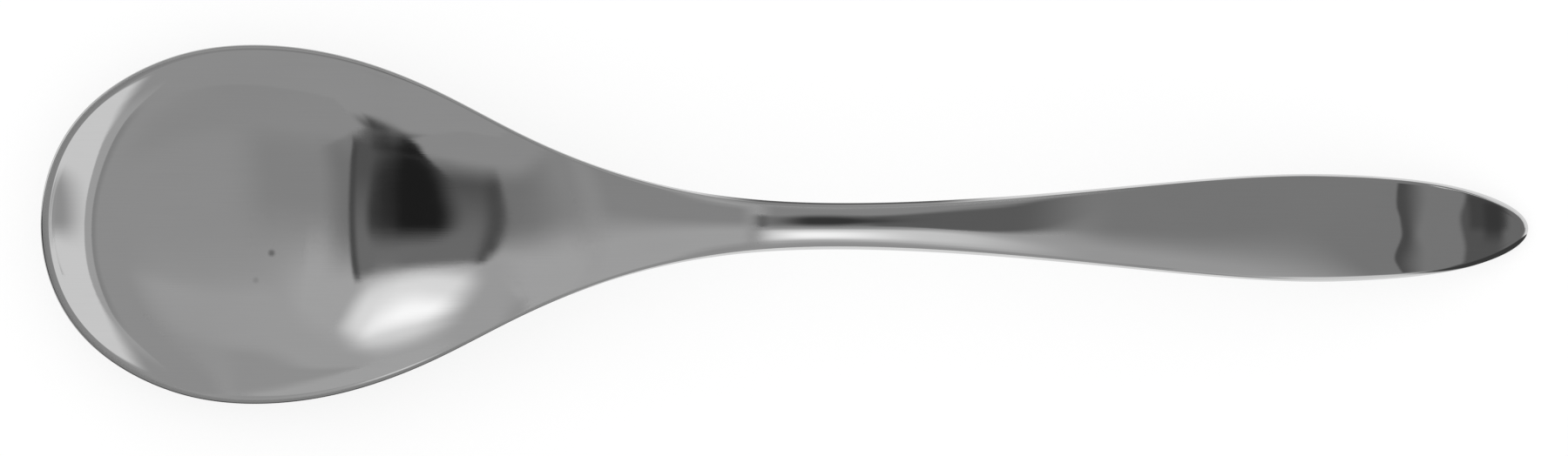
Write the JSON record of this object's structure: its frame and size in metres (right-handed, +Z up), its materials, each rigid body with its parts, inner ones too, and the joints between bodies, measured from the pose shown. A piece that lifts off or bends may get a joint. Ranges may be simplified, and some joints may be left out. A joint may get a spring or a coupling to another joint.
{
  "type": "serving spoon",
  "caption": "Serving spoon with a broad egg-shaped bowl, a slim waisted stem and an arched, leaf-shaped handle.",
  "frame": {"origin": "centre of the spoon's outline, on the surface that it lies on", "axes": "+X along the spoon, from the bowl towards the handle's end; +Z up, out of the bowl's hollow"},
  "size_m": [0.228, 0.055, 0.0227],
  "materials": {
    "steel": "bright stainless steel with fine polishing lines along its length"
  },
  "bodies": {
    "root": {"spoon": "steel"}
  },
  "joints": []
}
